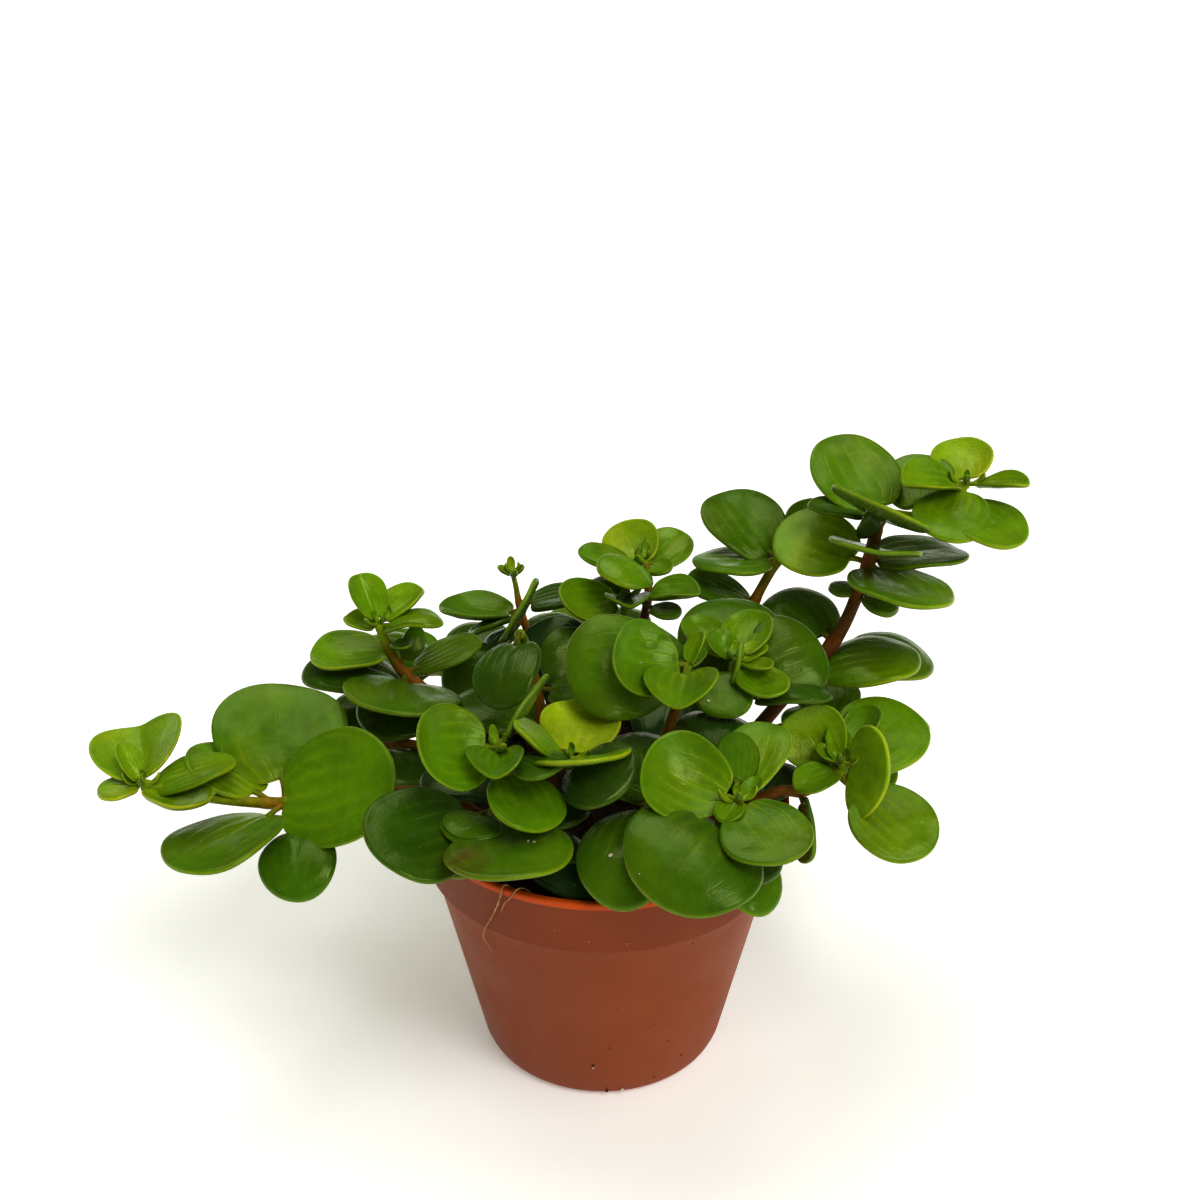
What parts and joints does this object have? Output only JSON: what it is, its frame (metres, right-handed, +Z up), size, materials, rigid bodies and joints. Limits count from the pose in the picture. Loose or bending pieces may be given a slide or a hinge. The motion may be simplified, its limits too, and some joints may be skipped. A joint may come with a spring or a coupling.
{
  "type": "potted plant",
  "caption": "Hope peperomia with round fleshy leaves on trailing stems, growing in a tapered terracotta-coloured plastic nursery pot filled with soil.",
  "frame": {"origin": "centre of the pot's underside, on the surface the pot stands on", "axes": "+Z up along the pot's axis, +X to the right and +Y away from the viewer of the picture"},
  "size_m": [0.3002, 0.2085, 0.1849],
  "materials": {
    "pot": "satin terracotta brown, brighter orange at the lip",
    "soil": "damp, dark, crumbly",
    "leaves": "glossy, fleshy, yellow-green to deep green"
  },
  "bodies": {
    "root": {"pot": "pot", "soil": "soil", "leafy_stem_far_left": "leaves", "leafy_stem_upper_left": "leaves", "leafy_stem_back_left": "leaves", "leafy_stem_centre_left": "leaves", "leafy_stem_back_centre": "leaves", "leafy_stem_back_right": "leaves", "leafy_stem_tall_right": "leaves", "leafy_stem_centre": "leaves", "leafy_stem_centre_right": "leaves", "leafy_stem_right": "leaves", "leafy_stem_front_right": "leaves", "leafy_stem_front": "leaves", "leafy_stem_front_left": "leaves", "leafy_stem_low_front_left": "leaves", "leafy_stem_left_behind": "leaves", "leafy_stem_behind_left": "leaves", "leafy_stem_behind_middle": "leaves", "leafy_stem_behind_right": "leaves", "leafy_stem_right_behind": "leaves"}
  },
  "joints": []
}
